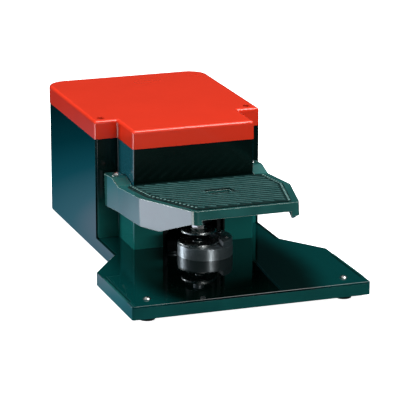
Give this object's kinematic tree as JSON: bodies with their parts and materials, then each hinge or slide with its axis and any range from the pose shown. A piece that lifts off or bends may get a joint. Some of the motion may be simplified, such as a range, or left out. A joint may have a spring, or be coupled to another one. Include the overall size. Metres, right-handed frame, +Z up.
{
  "type": "snap setting press",
  "caption": "Bench press for setting snap fasteners in leather: a tread plate pressed by hand swings an arm that closes the upper die on the lower die",
  "frame": {"origin": "on the table, under the middle of the machine's bounding box", "axes": "+X to the operator's right, +Y from the operator towards the back of the housing, +Z up; the machine stands on its feet at Z = 0 with the press plate up at rest"},
  "size_m": [0.2354, 0.3961, 0.139],
  "materials": {
    "green_enamel": "gloss stove enamel, dark green",
    "deck_enamel": "mirror gloss enamel, dark green",
    "red_cover": "smooth gloss moulding, orange red",
    "tread": "moulded ridges, dark grey green",
    "rubber": "moulded black rubber",
    "polished_die": "polished",
    "turned_steel": "fine turned",
    "plated_screws": "nickel plated",
    "dark_screws": "dark oxide",
    "zinc_fasteners": "bright zinc",
    "frame_steel": "satin grey paint",
    "spring_steel": "oil tempered wire",
    "bronze": "sintered bronze",
    "nylon": "natural nylon"
  },
  "bodies": {
    "frame": {"base_tray": "green_enamel", "frame_sole": "frame_steel", "deck_plate": "deck_enamel", "rubber_feet": "rubber", "deck_screws": "plated_screws", "foot_nuts": "zinc_fasteners", "foot_sleeves": "zinc_fasteners", "rear_foot_screws": "zinc_fasteners", "rear_foot_nuts": "zinc_fasteners", "frame_plate_left": "frame_steel", "frame_plate_right": "frame_steel", "frame_angles": "frame_steel", "frame_base_bolts": "zinc_fasteners", "frame_side_bolts": "zinc_fasteners", "frame_spacers": "frame_steel", "spacer_bolts": "zinc_fasteners", "stop_screw": "zinc_fasteners", "stop_nut": "zinc_fasteners", "stop_bumper": "rubber", "throat_guard": "frame_steel", "die_drum": "turned_steel", "drum_bolt": "zinc_fasteners", "drum_dowel": "zinc_fasteners", "lower_die": "polished_die", "die_clamp": "turned_steel", "clamp_screws": "plated_screws", "hinge_shaft": "turned_steel", "shaft_collars": "zinc_fasteners", "hinge_washers": "nylon", "arm_pivot_shaft": "turned_steel", "pivot_clips": "zinc_fasteners", "pivot_spacers": "nylon", "spring_cup": "turned_steel", "return_spring": "spring_steel", "side_panel_left": "green_enamel", "side_panel_right": "green_enamel", "front_shell": "green_enamel", "throat_trim": "rubber", "rear_panel": "green_enamel", "rear_screws": "plated_screws", "cover_rails": "green_enamel", "top_cover": "red_cover", "cover_screws": "dark_screws"},
    "arm": {"die_arm": "frame_steel", "arm_bushes": "bronze", "die_stem": "turned_steel", "stem_grub_screw": "zinc_fasteners", "die_lock_nut": "plated_screws", "upper_die": "polished_die", "spring_cap": "turned_steel"},
    "plate": {"press_plate": "green_enamel", "tread_pad": "tread", "hinge_block_left": "frame_steel", "hinge_block_right": "frame_steel", "hinge_bushes": "bronze", "lug_screws": "plated_screws", "roller_bracket": "frame_steel", "bracket_rivets": "zinc_fasteners", "roller_pin": "turned_steel"},
    "roller": {"press_roller": "turned_steel"}
  },
  "joints": [
    {"name": "plate_hinge", "type": "hinge", "parent": "frame", "child": "plate", "pos_m": [0, 0.004, 0.074], "axis": [1, 0, 0], "range_deg": [0, 5.3], "stiffness_Nm_per_rad": 12, "springref_deg": -17.19},
    {"name": "arm_hinge", "type": "hinge", "parent": "frame", "child": "arm", "pos_m": [0, 0.14, 0.057], "axis": [1, 0, 0], "range_deg": [0, 1.73], "deforming": ["return_spring"]},
    {"name": "roller_spin", "type": "hinge", "parent": "plate", "child": "roller", "pos_m": [-0.0065, -0.06147, 0.07736], "axis": [1, 0, 0], "continuous": true}
  ],
  "couplings": [
    {"joint": "arm_hinge", "follows": "plate_hinge", "ratio": 0.32506}
  ]
}
